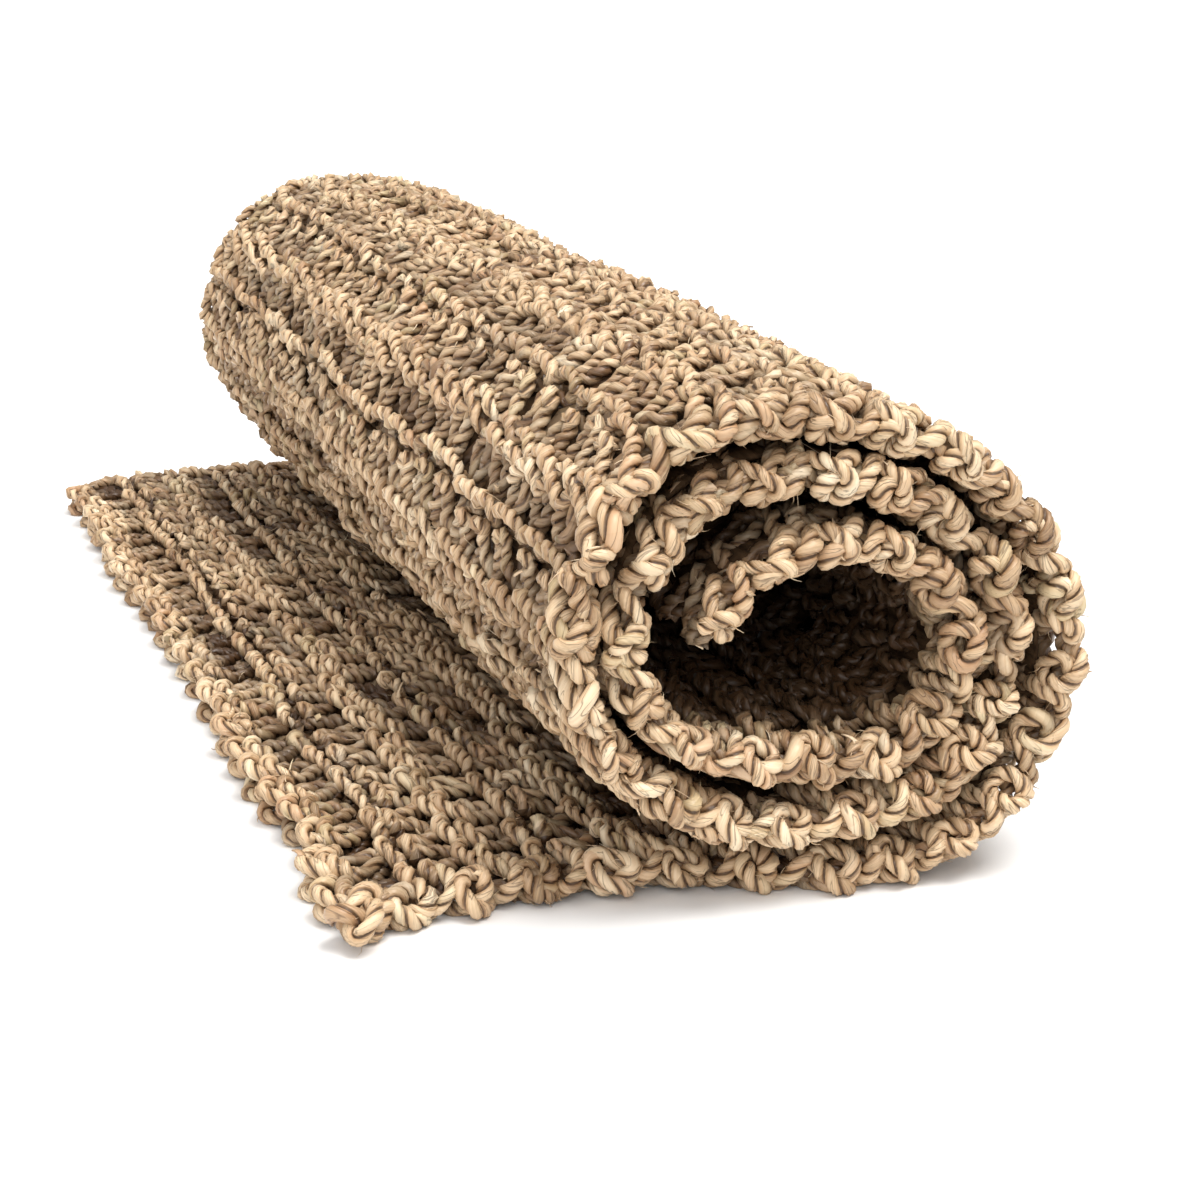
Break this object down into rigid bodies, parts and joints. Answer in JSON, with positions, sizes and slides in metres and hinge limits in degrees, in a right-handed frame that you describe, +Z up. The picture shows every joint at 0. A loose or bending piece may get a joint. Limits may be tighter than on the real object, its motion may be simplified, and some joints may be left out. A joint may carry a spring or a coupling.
{
  "type": "rolled leaf rope runner rug",
  "caption": "Narrow runner rug crocheted from thick twisted leaf rope, rolled up round an open core with one end left lying flat.",
  "frame": {"origin": "on the floor, under the middle of the whole piece", "axes": "+Y along the roll, across the rug's width, away from the end that shows its turns; -X towards the loose end that lies flat; +Z up"},
  "size_m": [0.2962, 0.686, 0.2035],
  "materials": {
    "rope": "dry twisted leaf rope, straw coloured, slightly glossy, with dark gaps between its stitches"
  },
  "bodies": {
    "root": {"rug": "rope"}
  },
  "joints": []
}
